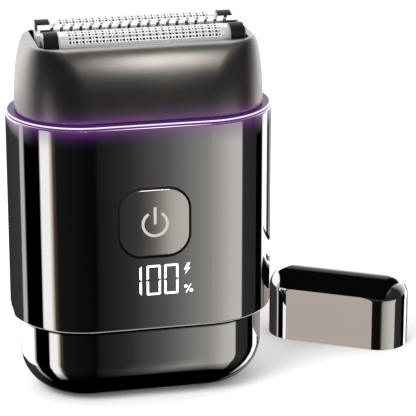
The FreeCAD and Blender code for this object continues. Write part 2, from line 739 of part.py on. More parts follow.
def trimmer_parts():
    """Middle trimmer: a slotted comb, bright side plates, and the toothed blade under the comb."""
    comb = new_body("trimmer_comb", "84")
    outline = sketch_on(comb)
    rectangle(outline, "dims.comb_length", "dims.comb_width - 0.5")
    pad(comb, outline, "dims.comb_top - 84")
    hollow = sketch_on(comb, offset="-1")
    rectangle(hollow, "dims.comb_length - 3", "dims.comb_width - 1.1")
    pocket(comb, hollow, "dims.comb_top - 84 + 1 - 0.6", back=True)
    slots = sketch_on(comb, offset="dims.comb_top - 84 + 1")
    for k in range(-9, 10):
        for side in (-1, 1):
            x = 2.3 * k
            near, far = (x + 0.15 * side, 0.25 * side), (x + 0.75 * side, 2.7 * side)
            polygon(slots, [near, (near[0] + 0.75, near[1]), (far[0] + 0.75, far[1]), far])
    pocket(comb, slots, "2.4")
    plates = new_body("trimmer_side_plates", "84")
    outline = sketch_on(plates)
    rectangle(outline, "dims.comb_length + 1.6", "dims.comb_width")
    rectangle(outline, "dims.comb_length + 0.04", "dims.comb_width - 0.46")
    pad(plates, outline, "dims.comb_top - 84 - 1.3")
    blade = new_body("trimmer_blade", "85.4")
    outline = sketch_on(blade)
    rectangle(outline, "42", "3.3")
    pad(blade, outline, "3.8")
    teeth = sketch_on(blade, offset="2.6")
    for k in range(-10, 11):
        rectangle(teeth, "1.1", "5", str(1.95 * k))
    pocket(blade, teeth, "3", back=True)
    stem = sketch_on(blade, offset="-3.4")
    rectangle(stem, "8", "3.3")
    pad(blade, stem, "3.4")
    bore = sketch_on(blade, offset="-4.4")
    circle(bore, "dims.pin_radius + 0.35")
    pocket(blade, bore, "4.4", back=True)
    return [comb, plates, blade]


def drive_parts():
    """Sliding bridge with the yoke that the cam's pin turns in, its three pins and their springs."""
    bridge = new_body("drive_bridge", "dims.bridge_bottom")
    outline = sketch_on(bridge)
    rounded(outline, "dims.bridge_length", "dims.bridge_width", "2")
    rounded(outline, "8.4", "7", "1")
    pad(bridge, outline, "dims.bridge_thick")
    pins = new_body("drive_pins", "dims.bridge_bottom + dims.bridge_thick")
    outline = sketch_on(pins)
    circle(outline, "dims.pin_radius", "0", "-dims.foil_y")
    circle(outline, "dims.pin_radius", "0", "dims.foil_y")
    pad(pins, outline, "dims.pin_top - dims.bridge_bottom - dims.bridge_thick")
    pins.AllowCompound = True
    post = new_body("trimmer_drive_post", "dims.bridge_bottom + dims.bridge_thick")
    outline = sketch_on(post)
    for side in (-1, 1):
        rectangle(outline, "1.8", "3", str(6.6 * side))
    pad(post, outline, "3")
    add_pads(post, lambda s: rectangle(s, "15", "3"), "1.2", "3")
    add_pads(post, lambda s: circle(s, "dims.pin_radius"), "4.2", "4.2")
    return [bridge, pins, post]


def spring(label, z, height, x="0", y="0"):
    """Open coil round a drive pin."""
    body = new_body(label, z, y, x)
    wire = sketch_on(body, "XZ_Plane")
    circle(wire, "0.2", "1.5", "0.25")
    coil = body.newObject("PartDesign::AdditiveHelix", label + "_coil")
    coil.Profile = wire
    coil.ReferenceAxis = (wire, ["V_Axis"])
    coil.Mode = "pitch-height-angle"
    coil.Pitch = (height - 0.5) / 5
    coil.Height = height - 0.5
    body.Tip = coil
    return body


def cap_parts():
    """Loose protective cap standing on its open rim beside the shaver, with its lining."""
    outer = new_body("cap_outer")
    outline = sketch_on(outer)
    rounded(outline, "dims.cap_length", "dims.cap_width", "dims.cap_corner")
    pad(outer, outline, "dims.cap_height")
    fillet(outer, "dims.cap_round", at_height(value("dims.cap_height")))
    inner = new_body("cap_inner", "-1")
    outline = sketch_on(inner)
    wall = "dims.cap_wall"
    rounded(outline, f"dims.cap_length - 2 * {wall}", f"dims.cap_width - 2 * {wall}", f"dims.cap_corner - {wall}")
    pad(inner, outline, f"dims.cap_height + 1 - {wall}")
    fillet(inner, f"dims.cap_round - {wall}", at_height(value("dims.cap_height + 1 - dims.cap_wall")))
    shell = doc.addObject("Part::Cut", "cap_shell")
    shell.Base = outer
    shell.Tool = inner
    liner = new_body("cap_liner", "0.4")
    outline = sketch_on(liner)
    rounded(outline, f"dims.cap_length - 2 * {wall} - 0.04", f"dims.cap_width - 2 * {wall} - 0.04", f"dims.cap_corner - {wall} - 0.02")
    rounded(outline, f"dims.cap_length - 2 * {wall} - 1.2", f"dims.cap_width - 2 * {wall} - 1.2", f"dims.cap_corner - {wall} - 0.6")
    pad(liner, outline, "dims.cap_height - 4.5")
    for part in (shell, liner):
        part.setExpression("Placement.Base.x", "dims.cap_x")
        part.setExpression("Placement.Base.y", "dims.cap_y")
        part.setExpression("Placement.Rotation.Angle", "dims.cap_turn")
        part.Placement.Rotation = Rotation(Vector(0, 0, 1), DIMS["cap_turn"])
    return [shell, liner]


def build():
    """Every sub-part of the shaver."""
    parts = [outer_sleeve(), base_shell(), inner_frame(), *rim_parts(), drive_deck(), *deck_parts()]
    parts += [*drive_motor(), *motor_bracket(), *shaft_parts(), *battery(), *electronics(), display_digits()]
    parts += [*button_parts(), head_shell(), *head_parts()]
    for side, y in (("front", "-dims.foil_y"), ("rear", "dims.foil_y")):
        parts += [foil(f"{side}_foil", y), carrier(f"{side}_foil_carrier", y), cutter(f"{side}_cutter", y)]
    parts += [*trimmer_parts(), *drive_parts()]
    parts.append(spring("front_spring", "75.12", 6.3, y="-dims.foil_y"))
    parts.append(spring("rear_spring", "75.12", 6.3, y="dims.foil_y"))
    parts.append(spring("trimmer_spring", "79.32", 2.5))
    parts += cap_parts()
    return parts


def export(parts):
    """Checks every object and writes one STEP file per sub-part."""
    doc.recompute()
    for item in doc.Objects:
        if any(flag in item.State for flag in ("Invalid", "Error")):
            raise RuntimeError(f"{item.Label} didn't recompute: {item.State}")
    os.makedirs("parts", exist_ok=True)
    for part in parts:
        if part.Shape.isNull() or not part.Shape.isValid() or part.Shape.Volume <= 0:
            raise RuntimeError(f"{part.Label} has no sound shape")
        part.Shape.exportStep(f"parts/{part.Label}.step")
        box = part.Shape.BoundBox
        spans = " ".join(f"{low:.2f}..{high:.2f}" for low, high in ((box.XMin, box.XMax), (box.YMin, box.YMax), (box.ZMin, box.ZMax)))
        print(f"{part.Label:24s} {part.Shape.Volume:10.1f} mm3  solids {len(part.Shape.Solids):3d}  {spans}")


export(build())
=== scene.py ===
import math

import bmesh
import bpy
from mathutils import Matrix, Vector


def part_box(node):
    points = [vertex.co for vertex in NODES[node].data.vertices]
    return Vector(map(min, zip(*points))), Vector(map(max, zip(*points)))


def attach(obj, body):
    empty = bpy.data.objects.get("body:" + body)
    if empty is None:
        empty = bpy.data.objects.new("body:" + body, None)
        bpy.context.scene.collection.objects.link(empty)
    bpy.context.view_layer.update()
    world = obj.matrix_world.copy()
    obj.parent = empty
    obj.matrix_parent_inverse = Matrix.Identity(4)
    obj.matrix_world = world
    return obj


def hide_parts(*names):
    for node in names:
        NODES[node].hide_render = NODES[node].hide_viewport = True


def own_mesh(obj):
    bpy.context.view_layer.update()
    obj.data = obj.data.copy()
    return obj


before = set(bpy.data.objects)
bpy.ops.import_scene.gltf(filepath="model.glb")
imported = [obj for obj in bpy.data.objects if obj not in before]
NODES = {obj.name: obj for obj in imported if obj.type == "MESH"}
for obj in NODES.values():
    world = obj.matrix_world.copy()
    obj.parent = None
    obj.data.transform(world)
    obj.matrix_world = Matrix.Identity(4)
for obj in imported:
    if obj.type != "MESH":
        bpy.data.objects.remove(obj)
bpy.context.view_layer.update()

MM = 0.001
SCENE = bpy.context.scene


# ---------------------------------------------------------------- materials

class Shader:
    """A small helper that adds nodes to one material and links them."""

    def __init__(self, name):
        self.material = bpy.data.materials.new(name)
        self.material.use_nodes = True
        self.tree = self.material.node_tree
        self.surface = self.tree.nodes["Principled BSDF"]
        self.coords = self.add("ShaderNodeTexCoord").outputs["Object"]

    def add(self, kind, **fields):
        node = self.tree.nodes.new(kind)
        for field, number in fields.items():
            setattr(node, field, number)
        return node

    def link(self, source, target):
        self.tree.links.new(source, target)

    def set(self, **sockets):
        for socket, number in sockets.items():
            self.surface.inputs[socket.replace("_", " ")].default_value = number
        return self

    def math(self, operation, *items, clamp=False):
        node = self.add("ShaderNodeMath", operation=operation, use_clamp=clamp)
        for k, item in enumerate(items):
            if isinstance(item, (int, float)):
                node.inputs[k].default_value = item
            else:
                self.link(item, node.inputs[k])
        return node.outputs[0]

    def axis(self, name):
        """One coordinate in the object's own frame."""
        node = self.add("ShaderNodeSeparateXYZ")
        self.link(self.coords, node.inputs[0])
        return node.outputs[name]

    def noise(self, scale, detail=3.0, stretch=None):
        """Noise in the object's own frame, scale in features per metre."""
        node = self.add("ShaderNodeTexNoise")
        node.inputs["Scale"].default_value = scale
        node.inputs["Detail"].default_value = detail
        source = self.coords
        if stretch:
            mapping = self.add("ShaderNodeMapping")
            mapping.inputs["Scale"].default_value = stretch
            self.link(source, mapping.inputs[0])
            source = mapping.outputs[0]
        self.link(source, node.inputs["Vector"])
        return node.outputs["Fac"]

    def ramp(self, factor, stops):
        """Colour ramp through (place, grey or colour) stops."""
        node = self.add("ShaderNodeValToRGB")
        ramp = node.color_ramp
        while len(ramp.elements) > 1:
            ramp.elements.remove(ramp.elements[-1])
        for k, (place, colour) in enumerate(stops):
            element = ramp.elements[0] if k == 0 else ramp.elements.new(place)
            element.position = place
            channels = colour if isinstance(colour, tuple) else (colour,) * 3
            element.color = (*channels, 1.0)
        self.link(factor, node.inputs[0])
        return node.outputs["Color"]

    def spread(self, factor, low, high, start=0.3, end=0.7):
        """Turns a factor into a number between low and high."""
        node = self.add("ShaderNodeMapRange")
        limits = {"From Min": start, "From Max": end, "To Min": low, "To Max": high}
        for socket, number in limits.items():
            node.inputs[socket].default_value = number
        self.link(factor, node.inputs["Value"])
        return node.outputs[0]

    def bump(self, height, distance, strength):
        node = self.add("ShaderNodeBump")
        node.inputs["Distance"].default_value = distance
        node.inputs["Strength"].default_value = strength
        self.link(height, node.inputs["Height"])
        self.link(node.outputs[0], self.surface.inputs["Normal"])
        return self

    def rough(self, factor, low, high):
        self.link(self.spread(factor, low, high), self.surface.inputs["Roughness"])
        return self

    def tint(self, factor, dark, light):
        """Base colour that wanders between two close colours."""
        self.link(self.ramp(factor, [(0.3, dark), (0.7, light)]), self.surface.inputs["Base Color"])
        return self


LILAC = (0.42, 0.09, 0.60)
GLOW_POWER = 5.5                          # how fast the painted rim glow fades with distance
SLEEVE_GLOW_Z = 69.8 * MM
HEAD_GLOW_Z = 70.6 * MM
SLEEVE_HIGHLIGHT_Z = (19.85 * MM, 20.1 * MM)   # where the painted highlight on the sleeve's lower edge fades out
BASE_SHADE_Z = (18.1 * MM, 18.5 * MM)     # where painted shade darkens the base under the sleeve
RIM_STRAIGHT = 13.5 * MM                  # half the straight run of the rim's oval
RIM_EDGE = (17.85 * MM, 18.15 * MM)       # distance from that run where the lit edge starts
RIM_LIP_Z = (70.0 * MM, 70.2 * MM)


def paint_rim_glow(shader, z_bright, reach, strength):
    """Painted glow: lilac emission painted on the surface for light that spills from the rim, fading with the
    distance from one height.
    """
    away = shader.math("ABSOLUTE", shader.math("SUBTRACT", shader.axis("Z"), z_bright))
    left = shader.math("SUBTRACT", 1.0, shader.math("DIVIDE", away, reach), clamp=True)
    fade = shader.math("MULTIPLY", shader.math("POWER", left, GLOW_POWER), strength)
    shader.surface.inputs["Emission Color"].default_value = (*LILAC, 1.0)
    shader.link(fade, shader.surface.inputs["Emission Strength"])


def polished(name, light=0.62):
    """Dark polished plating with faint haze and hairlines."""
    s = Shader(name).set(Metallic=1.0)
    haze = s.noise(90.0, 4.0)
    s.tint(haze, (light * 0.985, light * 0.965, light * 0.955), (light, light * 0.985, light * 0.975))
    s.rough(haze, 0.015, 0.045)
    s.bump(s.noise(900.0, 2.0, (1.0, 1.0, 0.15)), 0.00001, 0.05)
    return s


def paint_shade_under(shader, z_span):
    """Painted shade: a dark line painted into the base's colour where the housing overhangs it."""
    old = shader.surface.inputs["Base Color"].links[0].from_socket
    mix = shader.add("ShaderNodeMix", data_type="RGBA", blend_type="MULTIPLY")
    mix.inputs["Factor"].default_value = 1.0
    shader.link(old, mix.inputs["A"])
    dark = shader.spread(shader.axis("Z"), 0.0, 1.0, *z_span)
    shader.link(shader.ramp(dark, [(0.0, 1.0), (1.0, 0.02)]), mix.inputs["B"])
    shader.link(mix.outputs["Result"], shader.surface.inputs["Base Color"])


def paint_edge_highlight(shader, z_span, strength):
    """Painted highlight: a bright line painted as emission on the rounded lower edge, added to the glow that the
    shader already has.
    """
    old = shader.surface.inputs["Emission Strength"].links[0].from_socket
    glow = shader.surface.inputs["Emission Color"].default_value[:3]
    height = shader.spread(shader.axis("Z"), 0.0, 1.0, 0.0, 100 * MM)
    colours = shader.ramp(height, [(0.3, (1.0, 0.98, 0.96)), (0.4, glow)])
    shader.link(colours, shader.surface.inputs["Emission Color"])
    line = shader.spread(shader.axis("Z"), strength, 0.0, *z_span)
    shader.link(shader.math("ADD", old, line), shader.surface.inputs["Emission Strength"])


def satin(name, colour, low, high, metal=1.0, grain=9000.0, depth=0.00002):
    """Blasted or brushed satin surface with a fine grain."""
    s = Shader(name).set(Metallic=metal)
    cloud = s.noise(60.0, 3.0)
    s.tint(cloud, tuple(c * 0.94 for c in colour), tuple(min(1.0, c * 1.05) for c in colour))
    s.rough(cloud, low, high)
    s.bump(s.noise(grain, 2.0), depth, 0.35)
    return s


def brushed(name, colour, low, high, stretch):
    """Steel with fine grinding lines along one direction."""
    s = Shader(name).set(Metallic=1.0)
    lines = s.noise(4000.0, 3.0, stretch)
    s.tint(lines, tuple(c * 0.9 for c in colour), colour)
    s.rough(lines, low, high)
    s.bump(lines, 0.00001, 0.3)
    return s


def plastic(name, colour, low, high, grain=5000.0):
    """Moulded plastic with a fine spark-eroded texture."""
    s = Shader(name).set(Metallic=0.0)
    cloud = s.noise(120.0, 3.0)
    s.tint(cloud, tuple(c * 0.85 for c in colour), tuple(min(1.0, c * 1.12) for c in colour))
    s.rough(cloud, low, high)
    s.bump(s.noise(grain, 2.0), 0.00002, 0.3)
    return s


def glowing(name, colour, strength):
    """Lit diffuser, slightly uneven like a row of lamps behind it."""
    s = plastic(name, colour, 0.3, 0.4)
    s.surface.inputs["Emission Color"].default_value = (*colour, 1.0)
    s.link(s.spread(s.noise(220.0, 1.0), strength * 0.9, strength), s.surface.inputs["Emission Strength"])
    return s


def rim_glow(name):
    """Dark violet diffuser whose outer edge is lit white all the way round."""
    s = plastic(name, (0.03, 0.012, 0.045), 0.2, 0.3)
    s.set(Specular_IOR_Level=0.12)
    past = s.math("SUBTRACT", s.math("ABSOLUTE", s.axis("X")), RIM_STRAIGHT)
    beyond = s.math("MAXIMUM", past, 0.0)
    across = s.math("POWER", s.axis("Y"), 2.0)
    out = s.math("SQRT", s.math("ADD", s.math("POWER", beyond, 2.0), across))
    lip = s.spread(s.axis("Z"), 0.0, 1.0, *RIM_LIP_Z)
    edge = s.math("MULTIPLY", s.spread(out, 0.0, 1.0, *RIM_EDGE), lip)
    colours = [(0.0, (0.16, 0.05, 0.30)), (0.6, (0.7, 0.5, 1.0)), (1.0, (1.0, 0.95, 1.0))]
    s.link(s.ramp(edge, colours), s.surface.inputs["Emission Color"])
    s.link(s.spread(edge, 0.16, 1.10, 0.0, 1.0), s.surface.inputs["Emission Strength"])
    return s


sleeve_metal = polished("Sleeve_Chrome")
# painted lilac glow on the sleeve near the rim
paint_rim_glow(sleeve_metal, SLEEVE_GLOW_Z, 8.0 * MM, 0.32)
# painted highlight along the sleeve's lower edge
paint_edge_highlight(sleeve_metal, SLEEVE_HIGHLIGHT_Z, 0.55)
base_metal = polished("Base_Chrome")
# painted shade on the base under the sleeve
paint_shade_under(base_metal, BASE_SHADE_Z)
cap_metal = polished("Cap_Chrome", 0.68)
head_metal = satin("Head_Satin", (0.40, 0.375, 0.355), 0.29, 0.37, grain=5500.0, depth=0.00004)
# painted lilac glow on the head near the rim
paint_rim_glow(head_metal, HEAD_GLOW_Z, 9.0 * MM, 0.25)
button_metal = satin("Button_Satin", (0.96, 0.89, 0.85), 0.12, 0.17, grain=5000.0, depth=0.000004)
# faint painted glow that lifts the button's brightness
button_metal.set(Emission_Color=(1.0, 0.92, 0.86, 1.0), Emission_Strength=0.022)
icon_metal = satin("Icon_Bright", (0.58, 0.56, 0.55), 0.25, 0.35, metal=0.3)
# painted glow that brightens the icon
icon_metal.set(Emission_Color=(1.0, 0.97, 0.95, 1.0), Emission_Strength=0.03)
foil_metal = brushed("Foil_Steel", (0.80, 0.80, 0.795), 0.16, 0.24, (0.05, 1.0, 1.0))
foil_metal.set(Metallic=0.55)
comb_metal = brushed("Comb_Steel", (0.72, 0.72, 0.72), 0.18, 0.28, (1.0, 0.1, 1.0))
# painted shade: cutters and trimmer blade made near black so that the foil holes and the comb's gaps look dark
# inside
shaded_blade_metal = brushed("Blade_Steel_Painted_Shade", (0.05, 0.05, 0.053), 0.35, 0.48, (1.0, 0.1, 0.4))
steel = brushed("Inner_Steel", (0.72, 0.72, 0.73), 0.25, 0.38, (1.0, 1.0, 0.1))
black_trim = plastic("Black_Trim", (0.006, 0.006, 0.006), 0.28, 0.4)
black_trim.set(Specular_IOR_Level=0.2)
frame_plastic = plastic("Frame_Plastic", (0.05, 0.05, 0.055), 0.45, 0.6)
seal_rubber = plastic("Seal_Rubber", (0.02, 0.02, 0.02), 0.6, 0.75, 3000.0)
brass = brushed("Cam_Brass", (0.80, 0.62, 0.32), 0.22, 0.35, (1.0, 1.0, 0.1))
cell_wrap = plastic("Cell_Wrap", (0.05, 0.17, 0.45), 0.22, 0.32)
board_green = plastic("Board_Green", (0.02, 0.16, 0.07), 0.3, 0.45)
chip_black = plastic("Chip_Black", (0.02, 0.02, 0.022), 0.4, 0.55)
guide_clear = plastic("Guide_Clear", (0.75, 0.75, 0.78), 0.15, 0.25)
ring_light = rim_glow("Ring_Light")
marks_light = glowing("Marks_Light", (1.0, 1.0, 1.0), 0.95)

WEAR = {
    sleeve_metal: ["outer_sleeve"],
    base_metal: ["base_shell"],
    cap_metal: ["cap_shell"],
    head_metal: ["head_shell"],
    button_metal: ["power_button"],
    icon_metal: ["power_icon"],
    foil_metal: ["front_foil", "rear_foil", "trimmer_side_plates"],
    comb_metal: ["trimmer_comb"],
    shaded_blade_metal: ["front_cutter", "rear_cutter", "trimmer_blade"],
    steel: ["deck_magnets", "head_magnets", "drive_motor", "bracket_screws", "motor_shaft", "drive_pins",
            "battery_tabs", "usb_c_port", "front_spring", "rear_spring", "trimmer_spring"],
    black_trim: ["button_bezel", "sleeve_gasket", "front_foil_carrier", "rear_foil_carrier", "foil_frame",
                 "cap_liner"],
    frame_plastic: ["inner_frame", "drive_deck", "head_collar", "motor_bracket", "motor_end_cap", "drive_bridge",
                    "trimmer_drive_post", "switch_plunger"],
    seal_rubber: ["deck_seal"],
    brass: ["eccentric_cam"],
    cell_wrap: ["battery_cell"],
    board_green: ["main_board", "charge_board", "led_strip"],
    chip_black: ["board_chips", "key_switch", "usb_tongue"],
    guide_clear: ["display_light_guide"],
    ring_light: ["light_ring"],
    marks_light: ["display_digits"],
}
for shader, names in WEAR.items():
    for name in names:
        mesh = NODES[name].data
        mesh.materials.clear()
        mesh.materials.append(shader.material)

# ---------------------------------------------------------------- foils

FOIL_RADIUS = 3.0 * MM
FOIL_HALF = 20.45 * MM              # half its length
FOIL_PIERCED = 36.3 * MM            # the length that carries holes
FOIL_START = math.radians(12.0)     # where the holes start on the arch, from the front
FOIL_ARC = math.radians(156.0)
FOIL_STEPS = 46
FOIL_ROWS = 9
FOIL_SKIN = 0.12 * MM
HOLE_RADII = (0.31 * MM, 0.19 * MM)


def new_piece(bm, name, shader):
    """Object made from a finished mesh, with its faces turned outwards."""
    bmesh.ops.recalc_face_normals(bm, faces=bm.faces)
    mesh = bpy.data.meshes.new(name)
    bm.to_mesh(mesh)
    bm.free()
    mesh.materials.append(shader.material)
    piece = bpy.data.objects.new(name, mesh)
    SCENE.collection.objects.link(piece)
    return piece


def pierced_foil(node, body):
    """Thin arched foil with rows of fine holes, large and small columns in turn, on its crown."""
    low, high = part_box(node)
    y_mid, z_mid = (low.y + high.y) / 2, high.z - FOIL_RADIUS
    pitch = FOIL_PIERCED / FOIL_STEPS
    rise = FOIL_RADIUS * FOIL_ARC / FOIL_ROWS
    bm = bmesh.new()
    cache = {}

    def place(u, v):
        """Point on the arch: u along it, v round it from the front, kept once for neighbours."""
        key = (round(u / MM, 4), round(v / MM, 4))
        if key not in cache:
            angle = v / FOIL_RADIUS + FOIL_START
            y, z = y_mid - FOIL_RADIUS * math.cos(angle), z_mid + FOIL_RADIUS * math.sin(angle)
            cache[key] = bm.verts.new((u, y, z))
        return cache[key]

    def cell(u, v, radius):
        """One tile of the mesh round a hole, eight faces from the tile's rim to the hole's rim."""
        w, h = pitch / 2, rise / 2
        rim = [(-w, -h), (0, -h), (w, -h), (w, 0), (w, h), (0, h), (-w, h), (-w, 0)]
        turns = [math.radians(k) for k in range(-135, 225, 45)]
        hole = [(radius * math.cos(turn), radius * math.sin(turn)) for turn in turns]
        outer = [place(u + a, v + b) for a, b in rim]
        inner = [place(u + a, v + b) for a, b in hole]
        for k in range(8):
            n = (k + 1) % 8
            bm.faces.new((outer[k], outer[n], inner[n], inner[k]))

    for column in range(FOIL_STEPS):
        u = (column - (FOIL_STEPS - 1) / 2) * pitch
        for row in range(FOIL_ROWS):
            cell(u, (row + 0.5) * rise, HOLE_RADII[column % 2])
    edge = FOIL_STEPS * pitch / 2
    for side in (-1, 1):
        u0, u1 = side * edge, side * FOIL_HALF
        for half_row in range(2 * FOIL_ROWS):
            v0, v1 = half_row * rise / 2, (half_row + 1) * rise / 2
            quad = [place(u0, v0), place(u1, v0), place(u1, v1), place(u0, v1)]
            bm.faces.new(quad if side > 0 else quad[::-1])
    pierced = [(k - FOIL_STEPS) * pitch / 2 for k in range(2 * FOIL_STEPS + 1)]
    columns = [-FOIL_HALF, *pierced, FOIL_HALF]
    for v, y_side in ((0.0, -1), (FOIL_ROWS * rise, 1)):
        feet = [bm.verts.new((u, y_mid + y_side * FOIL_RADIUS, low.z + 0.1 * MM)) for u in columns]
        for k in range(len(columns) - 1):
            upper = (place(columns[k], v), place(columns[k + 1], v))
            quad = [feet[k], feet[k + 1], upper[1], upper[0]]
            bm.faces.new(quad if y_side < 0 else quad[::-1])
    piece = new_piece(bm, node + "_fine", foil_metal)
    for polygon in piece.data.polygons:
        polygon.use_smooth = True
    skin = piece.modifiers.new("Skin", "SOLIDIFY")
    skin.thickness = FOIL_SKIN
    skin.offset = -1.0
    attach(piece, body)
    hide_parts(node)


pierced_foil("front_foil", "front_foil_unit")
pierced_foil("rear_foil", "rear_foil_unit")

PLATE_INSET = 0.15 * MM             # how much smaller it is than the carrier's arch
PLATE_FOOT_Z = 84.2 * MM
PLATE_FACES = (0.03 * MM, 0.38 * MM)  # its two faces, outwards from the carrier's end
PLATE_EDGE = 0.1 * MM


def end_plate(node, body, side):
    """Bright arched plate that closes one end of a foil carrier."""
    low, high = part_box(node)
    radius = (high.y - low.y) / 2 - PLATE_INSET
    y_mid, z_mid = (low.y + high.y) / 2, high.z - (high.y - low.y) / 2
    x = high.x if side > 0 else low.x
    turns = [math.radians(k) for k in range(0, 181, 12)]
    arch = [(-radius * math.cos(turn), radius * math.sin(turn)) for turn in turns]
    foot = PLATE_FOOT_Z - z_mid
    outline = [(-radius, foot), *arch, (radius, foot)]
    bm = bmesh.new()
    inner, outer = ([bm.verts.new((x + side * away, y_mid + y, z_mid + z)) for y, z in outline]
                    for away in PLATE_FACES)
    bm.faces.new(inner)
    bm.faces.new(outer[::-1])
    for k in range(len(outline)):
        n = (k + 1) % len(outline)
        bm.faces.new((inner[k], inner[n], outer[n], outer[k]))
    piece = new_piece(bm, f"{node}_plate_{'right' if side > 0 else 'left'}", comb_metal)
    bevel = piece.modifiers.new("Edge", "BEVEL")
    bevel.width = PLATE_EDGE
    bevel.segments = 2
    bevel.limit_method = "ANGLE"
    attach(piece, body)


for half in ("front", "rear"):
    for end in (-1, 1):
        end_plate(f"{half}_foil_carrier", f"{half}_foil_unit", end)

# ---------------------------------------------------------------- springs


def coil_spring(node):
    """Copy of the spring, attached to the bridge body, with a mesh of its own."""
    piece = bpy.data.objects.new(node + "_coil", NODES[node].data.copy())
    SCENE.collection.objects.link(piece)
    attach(piece, "bridge")
    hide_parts(node)
    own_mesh(piece)


coil_spring("front_spring")
coil_spring("rear_spring")
coil_spring("trimmer_spring")

# ---------------------------------------------------------------- studio

FLOOR_HALF = 3.0
CAP_TURN = -31.5
DOME_RADIUS = 0.25
DOME_CENTRE = Vector((0.0, 0.0, 0.045))
SOFTBOX = Vector((0.30, -0.44, 0.85)).normalized()


def mesh_object(name, points, faces, material):
    """Plain mesh with one material, for the stage."""
    mesh = bpy.data.meshes.new(name)
    mesh.from_pydata(points, [], faces)
    mesh.materials.append(material)
    thing = bpy.data.objects.new(name, mesh)
    SCENE.collection.objects.link(thing)
    return thing


def only_reflected(thing):
    """A card that shows in reflections and nowhere else."""
    thing.visible_camera = False
    thing.visible_diffuse = False
    thing.visible_shadow = False
    thing.visible_transmission = False
    thing.visible_volume_scatter = False


def floor():
    """Plain pale floor, left out of polished reflections so that they stay clean."""
    s = Shader("Floor_Pale").set(Metallic=0.0)
    s.tint(s.noise(6.0), (0.90, 0.90, 0.90), (0.91, 0.91, 0.91))
    s.set(Roughness=0.8)
    h = FLOOR_HALF
    corners = [(-h, -h, 0), (h, -h, 0), (h, h, 0), (-h, h, 0)]
    plane = mesh_object("Floor", corners, [(0, 1, 2, 3)], s.material)
    plane.visible_glossy = False


SPOT_EDGE = (0.80, 0.985)           # where the soft overhead light starts and is full
SPOT_LEVEL = 0.14
BACK_EDGE = (1.5, 2.15)             # turn from the front, in radians, where the pale back starts and is full
BACK_LEVEL = 0.8
STRIPS_TOP = (-0.185, -0.13)        # height, in tent radii, where the strips give way to the upper tent
TENT_FOOT = (-0.86, -0.66)          # height, in tent radii, over which the tent fades in from the bottom

# brightness round the tent: (degrees from the front towards +X, grey or colour)
BANDS = [
    (-180, 0.03), (-116, 0.06), (-113.5, 0.75), (-106.5, 0.65), (-105, 0.0), (-77, 0.0), (-75.5, 1.4),
    (-63, 1.4), (-59.5, (0.85, 0.70, 0.56)), (-56.5, (0.10, 0.085, 0.07)), (-51, 0.012), (0, 0.004),
    (6, 0.012), (8.5, 0.04), (11.7, 0.14), (13.4, (0.27, 0.262, 0.25)), (15.5, (0.42, 0.41, 0.385)),
    (28, (0.54, 0.52, 0.50)), (43, (0.71, 0.68, 0.65)), (62, (0.80, 0.77, 0.73)),
    (63.5, 0.04), (90, 0.03), (91, 0.0), (106, 0.0), (107.5, 1.7), (122, 1.7), (124, 0.05), (136, 0.05),
    (137, 0.7), (142, 0.7), (143.5, 0.03),
]


def dome():
    """Light tent: upright strips low down, a soft light overhead and a pale back."""
    s = Shader("Tent_Light")
    x, y, z = (s.axis(name) for name in "XYZ")
    turn = s.math("ARCTAN2", x, s.math("MULTIPLY", y, -1.0))
    around = s.math("ADD", s.math("DIVIDE", turn, 2 * math.pi), 0.5)
    strips = s.ramp(around, [((a + 180) / 360, colour) for a, colour in BANDS])
    height = s.math("DIVIDE", z, DOME_RADIUS)
    backness = s.spread(s.math("ABSOLUTE", turn), 0.0, 1.0, *BACK_EDGE)
    towards = s.add("ShaderNodeVectorMath", operation="DOT_PRODUCT")
    s.link(s.coords, towards.inputs[0])
    towards.inputs[1].default_value = SOFTBOX
    facing = s.math("DIVIDE", towards.outputs["Value"], DOME_RADIUS)
    spot = s.spread(facing, 0.0, SPOT_LEVEL, *SPOT_EDGE)
    upper = s.math("MAXIMUM", s.math("MULTIPLY", backness, BACK_LEVEL), spot)
    mix = s.add("ShaderNodeMix", data_type="RGBA")
    s.link(s.spread(height, 0.0, 1.0, *STRIPS_TOP), mix.inputs["Factor"])
    s.link(strips, mix.inputs["A"])
    s.link(s.ramp(upper, [(0.0, 0.03), (0.5, 0.6), (1.0, 1.9)]), mix.inputs["B"])
    foot = s.spread(height, 0.0, 1.0, *TENT_FOOT)
    emit = s.add("ShaderNodeEmission")
    s.link(mix.outputs["Result"], emit.inputs["Color"])
    s.link(foot, emit.inputs["Strength"])
    s.link(emit.outputs[0], s.tree.nodes["Material Output"].inputs["Surface"])
    mesh = bpy.data.meshes.new("Light_Tent")
    bm = bmesh.new()
    bmesh.ops.create_uvsphere(bm, u_segments=128, v_segments=64, radius=DOME_RADIUS)
    bm.to_mesh(mesh)
    bm.free()
    mesh.materials.append(s.material)
    tent = bpy.data.objects.new("Light_Tent", mesh)
    tent.location = DOME_CENTRE
    SCENE.collection.objects.link(tent)
    only_reflected(tent)


def one_sided(name, colour, z_span=None):
    """Light that leaves a card from its front face only, or fades from white to colour over z_span."""
    s = Shader(name)
    emit = s.add("ShaderNodeEmission")
    emit.inputs["Color"].default_value = (*colour, 1.0)
    if z_span:
        whiter = s.spread(s.axis("Z"), 1.0, 0.0, *z_span)
        s.link(s.ramp(whiter, [(0.0, colour), (0.5, 0.2), (1.0, 2.6)]), emit.inputs["Color"])
    clear = s.add("ShaderNodeBsdfTransparent")
    mix = s.add("ShaderNodeMixShader")
    s.link(s.add("ShaderNodeNewGeometry").outputs["Backfacing"], mix.inputs[0])
    s.link(emit.outputs[0], mix.inputs[1])
    s.link(clear.outputs[0], mix.inputs[2])
    s.link(mix.outputs[0], s.tree.nodes["Material Output"].inputs["Surface"])
    return s.material


